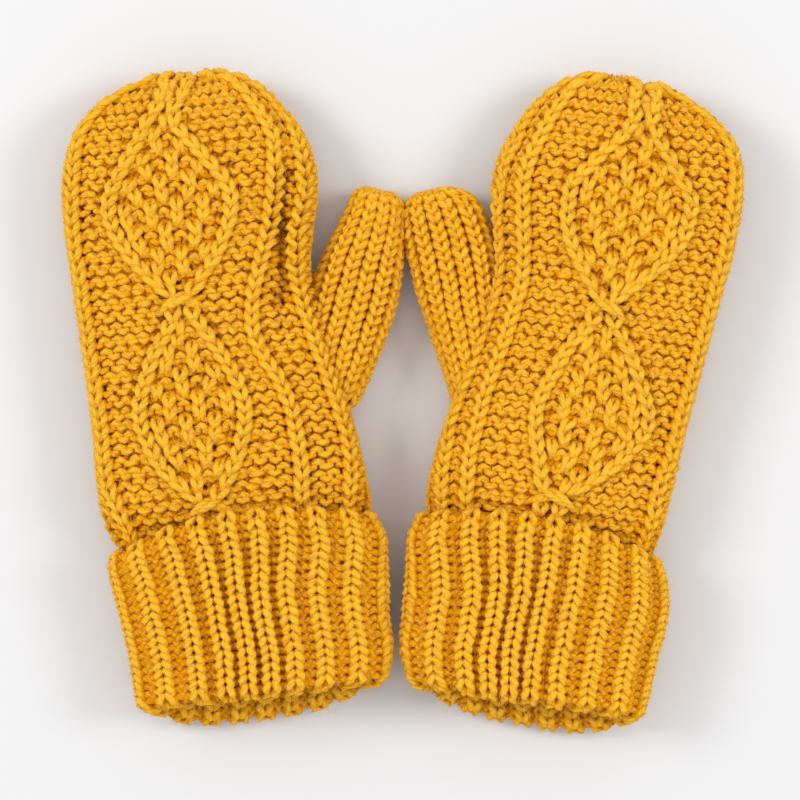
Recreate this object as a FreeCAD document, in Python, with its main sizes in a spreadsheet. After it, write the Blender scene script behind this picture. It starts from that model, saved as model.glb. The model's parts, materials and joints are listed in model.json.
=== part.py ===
"""A pair of knitted mittens with turned-up ribbed cuffs, lying palm down side by side.

Millimetres. +Z is up from the surface that the pair lies on, +Y runs from the wrists to the
fingertips and +X from the left-hand mitten to the right-hand one. Each mitten is drawn once in
a frame of its own, with the cuff's fold at Y = 0 and the thumb on +X for the left mitten and
on -X for the right one, and is then turned and put in its place. The origin is the middle of
the pair's outline on the surface.
"""
import FreeCAD, Part
import os
import re
import Sketcher

doc = FreeCAD.newDocument("knitted_mittens")
sheet = doc.addObject("Spreadsheet::Sheet", "Sizes")

# ---------------------------------------------------------------------------------------------
# Driving sizes: alias, value, meaning
# ---------------------------------------------------------------------------------------------
SIZES = [
    ("knit_wall", 4.0, "thickness of the knitted hand, thumb and inner cuff"),
    ("lining_wall", 1.8, "thickness of the fleece lining"),
    ("lining_gap", 0.3, "clearance between the knitting and its lining"),
    ("under_gap", 0.5, "clearance between the palm and the surface"),
    ("seam_height", 1.2, "height of the linking yarn between back and palm"),
    # turned-up cuff
    ("cuff_height", 70.0, "fold to top edge of the turn-up"),
    ("cuff_fold_width", 98.0, "turn-up across its fold"),
    ("cuff_wide_at", 61.0, "height above the fold where the turn-up is widest"),
    ("cuff_wide_width", 112.0, "turn-up across its widest line"),
    ("cuff_top_width", 109.0, "turn-up across its top edge"),
    ("cuff_thick", 35.0, "turn-up from the surface to its upper face"),
    ("cuff_wall", 4.5, "thickness of the ribbed turn-up"),
    ("cuff_press", 0.4, "depth to which the turn-up's underside is pressed flat where it lies"),
    ("cuff_gap", 0.7, "clearance between the turn-up and the inner cuff"),
    ("wrist_gap", 0.6, "clearance between the turn-up's top edge and the hand"),
    # hand, measured from the wrist line where it leaves the inner cuff
    ("hand_thick", 30.0, "hand from palm to back"),
    ("heel_rise", 9.5, "wrist line to the full width of the heel"),
    ("heel_width", 100.0, "hand across the heel"),
    ("heel_shift", 1.0, "heel centre, towards the thumb"),
    ("crotch_rise", 103.5, "wrist line to the thumb crotch"),
    ("crotch_width", 93.5, "hand across the thumb crotch"),
    ("crotch_shift", -9.2, "centre at the crotch, towards the thumb"),
    ("knuckle_rise", 30.0, "thumb crotch to the knuckle line"),
    ("knuckle_width", 102.0, "hand across the knuckles"),
    ("knuckle_shift", -7.0, "knuckle centre, towards the thumb"),
    ("finger_length", 84.0, "thumb crotch to the crown"),
    ("finger_drop", 27.0, "crown to the line where the fingers start to close in"),
    ("finger_width", 93.5, "hand across that line"),
    ("finger_thick", 28.0, "hand thickness at that line"),
    ("finger_shift", -8.5, "centre at that line, towards the thumb"),
    ("crown_drop", 9.0, "crown to its shoulder"),
    ("crown_width", 71.0, "hand across the shoulder"),
    ("crown_thick", 23.0, "hand thickness at the shoulder"),
    ("crown_shift", -7.0, "shoulder centre, towards the thumb"),
    ("tip_width", 40.0, "flat end of the crown"),
    ("tip_thick", 15.0, "thickness at the flat end"),
    ("tip_shift", -6.0, "centre of the flat end, towards the thumb"),
    # thumb, measured along its own axis from the fold line at the crotch
    ("thumb_lean", 20.0, "thumb axis away from the hand, degrees"),
    ("thumb_width", 31.0, "thumb across its base"),
    ("thumb_thick", 22.0, "thumb from palm side to back"),
    ("thumb_side_gap", 2.4, "clearance between the thumb's base and the side of the hand"),
    ("thumb_drop", 2.2, "crotch line down to the inner end of the thumb's fold line"),
    ("thumb_gap", 0.6, "clearance between thumb and gusset at the fold line"),
    ("gusset_length", 45.0, "fold line back to where the gusset leaves the hand"),
    ("gusset_width", 26.0, "gusset across its root"),
    ("thumb_length", 40.0, "fold line to thumb tip"),
    ("thumb_mid_rise", 20.0, "fold line to the middle of the thumb"),
    ("thumb_mid_taper", 2.0, "base width less the width at the middle"),
    ("thumb_near_drop", 7.0, "thumb tip to its shoulder"),
    ("thumb_near_taper", 4.5, "base width less the width at the shoulder"),
    ("thumb_near_flat", 4.0, "base thickness less the thickness at the shoulder"),
    ("thumb_tip_width", 17.0, "flat end of the thumb"),
    ("thumb_tip_thick", 11.0, "thickness at the thumb's flat end"),
    # drawn-up yarn that closes the crown and the thumb
    ("gather_ring", 4.5, "radius of the crown's drawn-up yarn"),
    ("thumb_gather_ring", 3.0, "radius of the thumb's drawn-up yarn"),
    ("yarn_radius", 1.3, "radius of the yarn"),
    # the pair
    ("left_turn", 6.5, "left mitten turned anticlockwise, degrees"),
    ("right_turn", 8.5, "right mitten turned clockwise, degrees"),
    ("pair_gap", 1.2, "clearance between the two mittens"),
    ("right_drop", 2.2, "right cuff's fold below the left one"),
    # places, filled in once the turned mittens have been measured
    ("left_x", 0.0, "left mitten's fold centre"),
    ("left_y", 0.0, "left mitten's fold centre"),
    ("right_x", 0.0, "right mitten's fold centre"),
    ("right_y", 0.0, "right mitten's fold centre"),
]

cells = {}
for row, (alias, value, meaning) in enumerate(SIZES, start=1):
    cells[alias] = f"B{row}"
    sheet.set(f"A{row}", alias)
    sheet.set(cells[alias], str(value))
    sheet.set(f"C{row}", meaning)
    sheet.setAlias(cells[alias], alias)
doc.recompute()


def sized(text):
    """An expression in which every alias is read from the sheet."""
    return re.sub(r"[a-z_]+", lambda word: "Sizes." * (word[0] in cells) + word[0], text)


# ---------------------------------------------------------------------------------------------
# Derived sizes, as expressions
# ---------------------------------------------------------------------------------------------
CUFF_MID = "cuff_thick / 2"
HAND_MID = "( under_gap + hand_thick / 2 )"
THUMB_MID = "( under_gap + thumb_thick / 2 )"
WRIST_LINE = "( cuff_height + wrist_gap )"
INNER_CUFF_HALF = "( cuff_fold_width / 2 - cuff_wall - cuff_gap )"
INNER_CUFF_THICK = "( cuff_thick - 2 * ( cuff_wall + cuff_gap ) )"
CROTCH_LINE = f"( {WRIST_LINE} + crotch_rise )"
CROWN_LINE = f"( {CROTCH_LINE} + finger_length )"
THUMB_FOLD_X = ("( crotch_shift + crotch_width / 2 + thumb_side_gap"
                " + thumb_width / 2 * cos(thumb_lean * 1deg) )")
THUMB_FOLD_Y = f"( {CROTCH_LINE} - thumb_drop - thumb_width / 2 * sin(thumb_lean * 1deg) )"

LINING_OUTSIDE = "( knit_wall + lining_gap )"
LINING_INSIDE = "( knit_wall + lining_gap + lining_wall )"


def station(along, centre, half, thick, mid, draw_back=0.0, draw_in=1.0, draw_flat=2.0):
    """A cross-section of a mitten form, and how much of a wall comes off it inside.

    A form that lies a wall inside another has its sections that wall's draw_back nearer the
    wrist, draw_in narrower at each side and draw_flat thinner.
    """
    return {"along": along, "centre": centre, "half": half, "thick": thick, "mid": mid,
            "back": draw_back, "in": draw_in, "flat": draw_flat}


WRIST = station(WRIST_LINE, "0", INNER_CUFF_HALF, INNER_CUFF_THICK, CUFF_MID)
HEEL = station(f"{WRIST_LINE} + heel_rise", "heel_shift", "heel_width / 2", "hand_thick", HAND_MID)
CROTCH = station(CROTCH_LINE, "crotch_shift", "crotch_width / 2", "hand_thick", HAND_MID)
KNUCKLE = station(f"{CROTCH_LINE} + knuckle_rise", "knuckle_shift", "knuckle_width / 2",
                  "hand_thick", HAND_MID)
FINGERS = station(f"{CROWN_LINE} - finger_drop", "finger_shift", "finger_width / 2",
                  "finger_thick", HAND_MID, draw_back=0.5)
CROWN = station(f"{CROWN_LINE} - crown_drop", "crown_shift", "crown_width / 2", "crown_thick",
                HAND_MID, draw_back=1.5, draw_in=0.6, draw_flat=1.7)
TIP = station(CROWN_LINE, "tip_shift", "tip_width / 2", "tip_thick", HAND_MID,
              draw_back=2.2, draw_in=0.2, draw_flat=1.2)

THUMB_ROOT = station("0 - gusset_length", "0", "gusset_width / 2", "thumb_thick", THUMB_MID)
GUSSET_END = station("0 - thumb_gap / 2", "0", "thumb_width / 2", "thumb_thick", THUMB_MID)
THUMB_BASE = station("thumb_gap / 2", "0", "thumb_width / 2", "thumb_thick", THUMB_MID)
THUMB_MIDDLE = station("thumb_mid_rise", "0", "( thumb_width - thumb_mid_taper ) / 2",
                       "thumb_thick", THUMB_MID)
THUMB_NEAR = station("thumb_length - thumb_near_drop", "0",
                     "( thumb_width - thumb_near_taper ) / 2", "thumb_thick - thumb_near_flat",
                     THUMB_MID, draw_back=1.0, draw_in=0.7, draw_flat=1.6)
THUMB_END = station("thumb_length", "0", "thumb_tip_width / 2", "thumb_tip_thick", THUMB_MID,
                    draw_back=1.8, draw_in=0.3, draw_flat=1.2)

HAND_STATIONS = [WRIST, HEEL, CROTCH, KNUCKLE, FINGERS, CROWN, TIP]
HAND_LINING_STATIONS = [HEEL, CROTCH, KNUCKLE, FINGERS, CROWN, TIP]
GUSSET_STATIONS = [THUMB_ROOT, GUSSET_END]
THUMB_STATIONS = [THUMB_BASE, THUMB_MIDDLE, THUMB_NEAR, THUMB_END]
TURNUP_THICK = "( cuff_thick + cuff_press )"
TURNUP_MID = "( cuff_thick / 2 - cuff_press / 2 )"
CUFF_STATIONS = [
    station("0", "0", "cuff_fold_width / 2", TURNUP_THICK, TURNUP_MID),
    station("cuff_wide_at", "0", "cuff_wide_width / 2", TURNUP_THICK, TURNUP_MID),
    station("cuff_height", "0", "cuff_top_width / 2", TURNUP_THICK, TURNUP_MID),
]
INNER_CUFF_STATIONS = [
    station("0", "0", INNER_CUFF_HALF, INNER_CUFF_THICK, CUFF_MID),
    WRIST,
]


# ---------------------------------------------------------------------------------------------
# Building steps
# ---------------------------------------------------------------------------------------------
def origin_plane(body, role):
    return [part for part in body.Origin.OriginFeatures if part.Role == role][0]


def bind(thing, path, text):
    thing.setExpression(path, sized(text))


def section_sketch(body, name, place, inset, side, extra):
    """A flattened round section across the form: two flats joined by two half circles."""
    sketch = body.newObject("Sketcher::SketchObject", name)
    sketch.AttachmentSupport = (origin_plane(body, "XZ_Plane"), [""])
    sketch.MapMode = "FlatFace"
    half = f"( {place['half']} - {place['in']} * {inset} )"
    thick = f"( {place['thick']} - {place['flat']} * {inset} )"
    centre = f"{side} * ( {place['centre']} )"
    bind(sketch, "AttachmentOffset.Base.z",
         f"0 - ( {place['along']} - {place['back']} * {inset} + {extra} )")

    vector = FreeCAD.Vector
    flat, radius, level = 30.0, 10.0, 15.0
    quarter = 1.5707963267948966
    up = vector(0, 0, 1)
    right_round = Part.Circle(vector(flat, level, 0), up, radius)
    left_round = Part.Circle(vector(-flat, level, 0), up, radius)
    top, right, bottom, left = range(4)
    sketch.addGeometry(Part.LineSegment(vector(-flat, level + radius, 0),
                                        vector(flat, level + radius, 0)))
    sketch.addGeometry(Part.ArcOfCircle(right_round, -quarter, quarter))
    sketch.addGeometry(Part.LineSegment(vector(flat, level - radius, 0),
                                        vector(-flat, level - radius, 0)))
    sketch.addGeometry(Part.ArcOfCircle(left_round, quarter, 3 * quarter))
    rule = Sketcher.Constraint
    sketch.addConstraint([
        rule("Tangent", top, 2, right, 2),
        rule("Tangent", right, 1, bottom, 1),
        rule("Tangent", bottom, 2, left, 2),
        rule("Tangent", left, 1, top, 1),
        rule("Horizontal", top),
        rule("Equal", right, left),
    ])
    driven = [
        (rule("Radius", right, radius), f"{thick} / 2"),
        (rule("DistanceX", -1, 1, right, 3, flat), f"{centre} + {half} - {thick} / 2"),
        (rule("DistanceX", -1, 1, left, 3, -flat), f"{centre} - {half} + {thick} / 2"),
        (rule("DistanceY", -1, 1, right, 3, level), place["mid"]),
    ]
    for constraint, text in driven:
        index = sketch.addConstraint(constraint)
        bind(sketch, f"Constraints[{index}]", text)
    return sketch


def add_loft(body, name, stations, inset, side, kind, first="0", last="0"):
    """A loft through the stations, first and last moving its two ends along the form."""
    sketches = []
    for number, place in enumerate(stations):
        extra = {0: first, len(stations) - 1: last}.get(number, "0")
        sketches.append(section_sketch(body, f"{name}_{number}", place, inset, side, extra))
    loft = body.newObject(f"PartDesign::{kind}Loft", name)
    loft.Profile = sketches[0]
    loft.Sections = sketches[1:]
    loft.Ruled = True
    return loft


def form(name, stations, inset, side, first="0", last="0"):
    """A solid form of the hand, the gusset or the thumb, for the cuts and unions below."""
    body = doc.addObject("PartDesign::Body", name)
    add_loft(body, f"{name}_loft", stations, inset, side, "Additive", first, last)
    return body


def put_on_thumb_axis(thing, side):
    bind(thing, "Placement.Base.x", f"{side} * {THUMB_FOLD_X}")
    bind(thing, "Placement.Base.y", THUMB_FOLD_Y)
    bind(thing, "Placement.Rotation.Angle", f"{-side} * thumb_lean * 1deg")


def join(kind, name, base, tool):
    result = doc.addObject(f"Part::{kind}", name)
    result.Base = base
    result.Tool = tool
    return result


def slab(name, low, height):
    """A wide flat box from the level low upwards, that cuts a mitten at a height."""
    box = doc.addObject("Part::Box", name)
    bind(box, "Length", "4 * knuckle_width")
    bind(box, "Width", f"2 * {CROWN_LINE}")
    bind(box, "Height", height)
    bind(box, "Placement.Base.x", "0 - 2 * knuckle_width")
    bind(box, "Placement.Base.y", f"0 - {CROWN_LINE} / 2")
    bind(box, "Placement.Base.z", low)
    return box


def gather(name, ring, centre, along, mid):
    """A ring of drawn-up yarn lying against a flat end, its axis along the form."""
    body = doc.addObject("PartDesign::Body", name)
    sketch = body.newObject("Sketcher::SketchObject", f"{name}_section")
    sketch.AttachmentSupport = (origin_plane(body, "XY_Plane"), [""])
    sketch.MapMode = "FlatFace"
    bind(sketch, "AttachmentOffset.Base.x", centre)
    bind(sketch, "AttachmentOffset.Base.y", along)
    bind(sketch, "AttachmentOffset.Base.z", mid)
    sketch.addGeometry(Part.Circle(FreeCAD.Vector(4, 1, 0), FreeCAD.Vector(0, 0, 1), 1))
    rule = Sketcher.Constraint
    driven = [
        (rule("Radius", 0, 1.0), "yarn_radius"),
        (rule("DistanceX", -1, 1, 0, 3, 4.0), ring),
        (rule("DistanceY", -1, 1, 0, 3, 1.0), "yarn_radius"),
    ]
    for constraint, text in driven:
        index = sketch.addConstraint(constraint)
        bind(sketch, f"Constraints[{index}]", text)
    turned = body.newObject("PartDesign::Revolution", f"{name}_ring")
    turned.Profile = sketch
    turned.ReferenceAxis = (sketch, ["V_Axis"])
    turned.Angle = 360.0
    body.Tip = turned
    return body


def ring_body(name, stations, wall, side):
    """A cuff: a sleeve open at both ends."""
    body = doc.addObject("PartDesign::Body", name)
    add_loft(body, f"{name}_outside", stations, "0", side, "Additive")
    add_loft(body, f"{name}_inside", stations, wall, side, "Subtractive", first="0 - 1", last="1")
    return body


# ---------------------------------------------------------------------------------------------
# One mitten
# ---------------------------------------------------------------------------------------------
def hand_shell(hand, side, outside, inside, stations, mouth_cut):
    """The hand and the gusset of the thumb in one hollow form, open at wrist and thumb."""
    tag = f"{hand}_{'lining' if stations is HAND_LINING_STATIONS else 'knit'}"
    solids = form(f"{tag}_hand_form", stations, outside, side)
    gusset = form(f"{tag}_gusset_form", GUSSET_STATIONS, outside, side)
    hollow = form(f"{tag}_hand_hollow", stations, inside, side, first=mouth_cut)
    passage = form(f"{tag}_gusset_hollow", GUSSET_STATIONS, inside, side, last="1")
    put_on_thumb_axis(gusset, side)
    put_on_thumb_axis(passage, side)
    outer = join("Fuse", f"{tag}_outer", solids, gusset)
    inner = join("Fuse", f"{tag}_inner", hollow, passage)
    return join("Cut", f"{tag}_shell", outer, inner)


def thumb_shell(name, side, outside, inside):
    """The thumb, hollow and open at its base, still along its own axis."""
    body = doc.addObject("PartDesign::Body", name)
    add_loft(body, f"{name}_outside", THUMB_STATIONS, outside, side, "Additive")
    add_loft(body, f"{name}_inside", THUMB_STATIONS, inside, side, "Subtractive", first="0 - 1")
    return body


def placed_on_thumb(name, body, side):
    """The thumb piece in the mitten's frame, as a sub-part that can be placed again."""
    put_on_thumb_axis(body, side)
    holder = doc.addObject("Part::Compound", name)
    holder.Links = [body]
    return holder


def make_mitten(hand, side):
    """All sub-parts of one mitten: node name and object, in the mitten's own frame."""
    shell = hand_shell(hand, side, "0", "knit_wall", HAND_STATIONS, "0 - 1")
    above = slab(f"{hand}_above", f"{HAND_MID} + seam_height / 2", "2 * hand_thick")
    below = slab(f"{hand}_below", f"0 - 2 * hand_thick + {HAND_MID} - seam_height / 2",
                 "2 * hand_thick")
    between = slab(f"{hand}_between", f"{HAND_MID} - seam_height / 2", "seam_height")
    turnup = ring_body(f"{hand}_turnup_sleeve", CUFF_STATIONS, "cuff_wall", side)
    surface = slab(f"{hand}_surface", "0", "2 * cuff_thick")
    lining = hand_shell(hand, side, LINING_OUTSIDE, LINING_INSIDE, HAND_LINING_STATIONS, "0 - 1")
    thumb = thumb_shell(f"{hand}_thumb_knit", side, "0", "knit_wall")
    thumb_lining = thumb_shell(f"{hand}_thumb_fleece", side, LINING_OUTSIDE, LINING_INSIDE)
    thumb_ring = gather(f"{hand}_thumb_ring", "thumb_gather_ring", "0", "thumb_length", THUMB_MID)
    return {
        "hand_back": join("Common", f"{hand}_back_half", shell, above),
        "hand_palm": join("Common", f"{hand}_palm_half", shell, below),
        "side_seam": join("Common", f"{hand}_seam_strip", shell, between),
        "crown_gather": gather(f"{hand}_crown_ring", "gather_ring", f"{side} * tip_shift",
                               CROWN_LINE, HAND_MID),
        "hand_lining": lining,
        "cuff_inner": ring_body(f"{hand}_inner_sleeve", INNER_CUFF_STATIONS, "knit_wall", side),
        "cuff_turnup": join("Common", f"{hand}_turnup_laid", turnup, surface),
        "thumb": placed_on_thumb(f"{hand}_thumb_placed", thumb, side),
        "thumb_lining": placed_on_thumb(f"{hand}_thumb_lining_placed", thumb_lining, side),
        "thumb_gather": placed_on_thumb(f"{hand}_thumb_ring_placed", thumb_ring, side),
    }


# ---------------------------------------------------------------------------------------------
# The pair
# ---------------------------------------------------------------------------------------------
subparts = {}
for hand, side in (("left", 1), ("right", -1)):
    for piece, thing in make_mitten(hand, side).items():
        node = f"{hand}_{piece}"
        thing.Label = node
        subparts[node] = thing
        thing.setExpression("Placement.Rotation.Angle", f"{side} * Sizes.{hand}_turn * 1deg")
        thing.setExpression("Placement.Base.x", f"Sizes.{hand}_x")
        thing.setExpression("Placement.Base.y", f"Sizes.{hand}_y")
doc.recompute()


def outline_box(prefix):
    box = FreeCAD.BoundBox()
    for node, thing in subparts.items():
        if node.startswith(prefix):
            box.add(thing.Shape.optimalBoundingBox(False))
    return box


def put_pair_in_place():
    """Lay the mittens side by side, pair_gap apart, about the middle of their outline."""
    left, right = outline_box("left"), outline_box("right")
    left_x = -sheet.pair_gap / 2 - left.XMax
    right_x = sheet.pair_gap / 2 - right.XMin
    middle_x = (left.XMin + left_x + right.XMax + right_x) / 2
    lowest = min(left.YMin, right.YMin - sheet.right_drop)
    highest = max(left.YMax, right.YMax - sheet.right_drop)
    middle_y = (lowest + highest) / 2
    sheet.set(cells["left_x"], str(round(left_x - middle_x, 3)))
    sheet.set(cells["right_x"], str(round(right_x - middle_x, 3)))
    sheet.set(cells["left_y"], str(round(-middle_y, 3)))
    sheet.set(cells["right_y"], str(round(-middle_y - sheet.right_drop, 3)))
    doc.recompute()


put_pair_in_place()


# ---------------------------------------------------------------------------------------------
# Checks and files
# ---------------------------------------------------------------------------------------------
for thing in doc.Objects:
    if "Invalid" in thing.State or "Error" in thing.State:
        raise RuntimeError(f"{thing.Label} did not build: {thing.State}")
os.makedirs("parts", exist_ok=True)
for node, thing in subparts.items():
    shape = thing.Shape
    if shape.isNull() or not shape.isValid() or shape.Volume <= 0:
        raise RuntimeError(f"{node} has no sound shape")
    shape.exportStep(f"parts/{node}.step")
    box = shape.BoundBox
    print(f"{node:22s} {len(shape.Solids)} solid(s) {shape.Volume / 1000:8.2f} cm3 "
          f"x {box.XMin:7.1f} {box.XMax:7.1f} y {box.YMin:7.1f} {box.YMax:7.1f} "
          f"z {box.ZMin:5.1f} {box.ZMax:5.1f}")
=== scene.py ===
# %% [markdown]
# # A pair of chunky cable-knit mittens
# Thick mustard yarn, a cable pattern of diamonds on the backs, plain knitting on palms and thumbs,
# and a deep ribbed cuff turned up once. At this gauge a single stitch is six millimetres wide, so the
# loops are the shape of the thing. A smooth glove with a bump map would lose its ragged outline and
# its dark gaps, so every loop is real here, swept along its yarn in code.

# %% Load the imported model
import math
import json
import numpy as np
import bpy
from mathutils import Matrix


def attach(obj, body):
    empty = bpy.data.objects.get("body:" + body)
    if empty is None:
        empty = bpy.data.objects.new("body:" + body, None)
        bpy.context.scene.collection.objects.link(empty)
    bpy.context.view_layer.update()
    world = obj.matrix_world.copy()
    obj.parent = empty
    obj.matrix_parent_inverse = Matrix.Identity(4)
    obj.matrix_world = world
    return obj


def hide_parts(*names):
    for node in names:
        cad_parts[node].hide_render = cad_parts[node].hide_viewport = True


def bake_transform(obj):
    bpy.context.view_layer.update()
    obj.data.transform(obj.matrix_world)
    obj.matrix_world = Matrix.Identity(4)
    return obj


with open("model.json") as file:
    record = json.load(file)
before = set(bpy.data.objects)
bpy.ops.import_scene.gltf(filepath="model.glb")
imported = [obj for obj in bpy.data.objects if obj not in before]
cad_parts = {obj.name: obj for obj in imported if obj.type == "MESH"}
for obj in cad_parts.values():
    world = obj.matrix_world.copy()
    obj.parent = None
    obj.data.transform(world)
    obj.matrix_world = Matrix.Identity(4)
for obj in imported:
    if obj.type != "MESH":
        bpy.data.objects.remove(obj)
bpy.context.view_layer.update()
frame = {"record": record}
bpy.ops.object.select_all(action="DESELECT")

# %% [markdown]
# ## Where each mitten lies
# Each mitten is worked in its own frame, in millimetres: x towards the thumb, y from the fold of the
# cuff to the fingertips, z up. The wrist opening in the record gives the fold's middle and the way
# the mitten points. Two sets of places in the room would double every number, so both are made in
# this frame and moved at the end. The right one is a mirror image, so its faces are wound the
# other way.

# %% Frames of the two mittens
MM = 0.001


def mitten_frame(hand):
    mounts = {m["name"]: m for m in frame["record"]["mounts"]}
    mouth = mounts[f"{hand}_wrist_opening"]
    along = -np.array(mouth["axis"][:2])
    across = np.array([along[1], -along[0]]) * (1 if hand == "left" else -1)
    return np.array(mouth["pos_m"][:2]) / MM, across, along


FRAMES = {hand: mitten_frame(hand) for hand in ("left", "right")}


def to_world(hand, points):
    origin, across, along = FRAMES[hand]
    flat = origin + points[..., :1] * across + points[..., 1:2] * along
    return np.concatenate([flat, points[..., 2:]], axis=-1) * MM


for hand, (origin, _, along) in FRAMES.items():
    print(hand, "fold centre", origin.round(1), "fingers point", along.round(3))

# %% [markdown]
# ## Camera, light and floor
# The pair is seen from straight above on a white table. A long lens from over a metre up keeps the
# two outlines nearly flat, where a short one would show their sides. Two lamps on the left and right
# leave the soft shadow between the mittens, and the pale room fills the rest.

# %% Camera
SENSOR = 36.0                              # width of the film, mm
DISTANCE = 1.3                             # from the lens to the middle of the knitting, m
VIEW_WIDTH = 0.3225                        # what the frame takes in at that distance, m
AIM = (-0.0009, 0.0012)                    # the pair's middle in the frame, m
LENS_HEIGHT = 1.317                        # over the table, m


def link(thing):
    bpy.context.scene.collection.objects.link(thing)
    return thing


lens = bpy.data.cameras.new("top_camera")
lens.sensor_width = SENSOR
lens.lens = SENSOR * DISTANCE / VIEW_WIDTH
camera = link(bpy.data.objects.new("top_camera", lens))
camera.location = (*AIM, LENS_HEIGHT)
bpy.context.scene.camera = camera
print("lens:", round(lens.lens), "mm")

# %% [markdown]
# ### Lamps and room
# A sun lamp would cut hard shadows, so each window is a disk lamp, an area light with a soft edge.
# The world's plain white is the room. The Standard view transform keeps the mustard's strength,
# where the filmic one washes it towards grey.

# %% Lamps and room
ROOM = 0.87          # strength of the pale room


def lamp(name, place, size, power):
    """A disk lamp that shines at the origin."""
    data = bpy.data.lights.new(name, "AREA")
    data.shape = "DISK"
    data.size = size
    data.energy = power
    thing = link(bpy.data.objects.new(name, data))
    thing.location = place
    thing.rotation_euler = (math.acos(place[2] / np.linalg.norm(place)), 0,
                            math.atan2(place[1], place[0]) + math.pi / 2)


lamp("left_window", (-1.7, 0.55, 1.5), 0.9, 23)
lamp("right_window", (1.7, 0.3, 1.5), 0.9, 18)
sky = bpy.data.worlds.new("pale_room")
sky.use_nodes = True
sky.node_tree.nodes["Background"].inputs["Color"].default_value = (1, 1, 1, 1)
sky.node_tree.nodes["Background"].inputs["Strength"].default_value = ROOM
bpy.context.scene.world = sky
bpy.context.scene.view_settings.view_transform = "Standard"

# %% [markdown]
# ## Materials
# Colours are written as sRGB hex and turned to linear by one function, and one small function adds a
# node with its settings and links.

# %% Material helpers


def linear(code):
    parts = [int(code[i:i + 2], 16) / 255 for i in (1, 3, 5)]
    return [p / 12.92 if p <= 0.04045 else ((p + 0.055) / 1.055) ** 2.4 for p in parts] + [1.0]


def add(tree, kind, values=None, links=None, **settings):
    node = tree.nodes.new(kind)
    for name, value in settings.items():
        setattr(node, name, value)
    for name, value in (values or {}).items():
        node.inputs[name].default_value = value
    for name, source in (links or {}).items():
        tree.links.new(source, node.inputs[name])
    return node


def ramp(tree, factor, stops):
    node = add(tree, "ShaderNodeValToRGB", links={0: factor})
    while len(node.color_ramp.elements) < len(stops):
        node.color_ramp.elements.new(0.5)
    for element, (place, code) in zip(node.color_ramp.elements, stops):
        element.position = place
        element.color = linear(code)
    return node.outputs["Color"]


def blank(name):
    material = bpy.data.materials.new(name)
    material.use_nodes = True
    tree = material.node_tree
    return material, tree, tree.nodes["Principled BSDF"]


def settle(shader, **values):
    """Numbers and colours that are the same all over the surface, set on the shader itself."""
    for name, value in values.items():
        shader.inputs[name.replace("_", " ")].default_value = value


print("mustard in linear light:", [round(part, 3) for part in linear("#DE9002")[:3]])

# %% [markdown]
# ### Chunky acrylic and wool yarn
# Three soft plies twisted together and brushed. The twist shows as slanting grooves a few
# millimetres apart, with a little painted shade in the grooves, and single fibres as fine streaks
# along the plies. Noise on Object coordinates would slide through the yarn, so the UV map runs along
# it in centimetres and once around it, and both follow every bend. The attribute "height" is how far
# a point stands above the middle of the fabric, and the colour paints light by it: hollows get a
# painted shade of deep orange brown and crowns a pale painted highlight.

# %% The yarn
PLIES = 3.0
GROOVES_PER_CM = 3.3         # grooves that pass a point in a centimetre of yarn: a turn each 9 mm


def yarn_material(name, stops):
    material, tree, shader = blank(name)
    uv = add(tree, "ShaderNodeUVMap", uv_map="yarn")
    split = add(tree, "ShaderNodeSeparateXYZ", links={0: uv.outputs[0]})
    turns = add(tree, "ShaderNodeMath", {1: PLIES}, {0: split.outputs["Y"]}, operation="MULTIPLY")
    twist = add(tree, "ShaderNodeMath", {1: GROOVES_PER_CM},
                {0: split.outputs["X"], 2: turns.outputs[0]}, operation="MULTIPLY_ADD")
    angle = add(tree, "ShaderNodeMath", {1: 2 * math.pi}, {0: twist.outputs[0]},
                operation="MULTIPLY")
    ply = add(tree, "ShaderNodeMath", links={0: angle.outputs[0]}, operation="SINE")
    # fibre bundles 0.6 mm across and some 5 mm long: single fibres would be too fine to show
    lay = add(tree, "ShaderNodeCombineXYZ", links={"X": split.outputs["X"], "Y": twist.outputs[0]})
    fibres = add(tree, "ShaderNodeTexNoise", {"Scale": 3.0, "Detail": 3.0, "Roughness": 0.7},
                 {"Vector": add(tree, "ShaderNodeMapping", {"Scale": (0.9, 1.9, 1.0)},
                                {"Vector": lay.outputs[0]}).outputs[0]})
    place = add(tree, "ShaderNodeTexCoord")
    cloud = add(tree, "ShaderNodeTexNoise", {"Scale": 260.0, "Detail": 3.0},
                {"Vector": place.outputs["Object"]})
    painted_shade_level = add(tree, "ShaderNodeAttribute", attribute_name="height")
    streaks = add(tree, "ShaderNodeMath", {1: 1.3, 2: -0.65}, {0: fibres.outputs["Fac"]},
                  operation="MULTIPLY_ADD")
    patches = add(tree, "ShaderNodeMath", {1: 0.16},
                  {0: cloud.outputs["Fac"], 2: streaks.outputs[0]}, operation="MULTIPLY_ADD")
    # painted light: the height attribute darkens the hollows into painted shade and pales the crowns
    # into a painted highlight; the patches and fibre streaks are the yarn's own tone
    total = add(tree, "ShaderNodeMath", links={0: painted_shade_level.outputs["Fac"], 1: patches.outputs[0]},
                operation="ADD")
    # the ply's sine also darkens the twist's grooves a little, as painted shade
    shade = add(tree, "ShaderNodeMath", {1: 0.07}, {0: ply.outputs[0], 2: total.outputs[0]},
                operation="MULTIPLY_ADD")
    tree.links.new(ramp(tree, shade.outputs[0], stops), shader.inputs["Base Color"])
    relief = add(tree, "ShaderNodeMath", {1: 0.35}, {0: ply.outputs[0], 2: fibres.outputs["Fac"]},
                 operation="MULTIPLY_ADD")
    bump = add(tree, "ShaderNodeBump", {"Strength": 1.0, "Distance": 0.0007},
               {"Height": relief.outputs[0]})
    tree.links.new(bump.outputs[0], shader.inputs["Normal"])
    settle(shader, Roughness=0.85, Specular_IOR_Level=0.06, Sheen_Weight=0.05,
           Sheen_Roughness=0.55, Sheen_Tint=linear("#FFB23C"))
    return material


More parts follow.
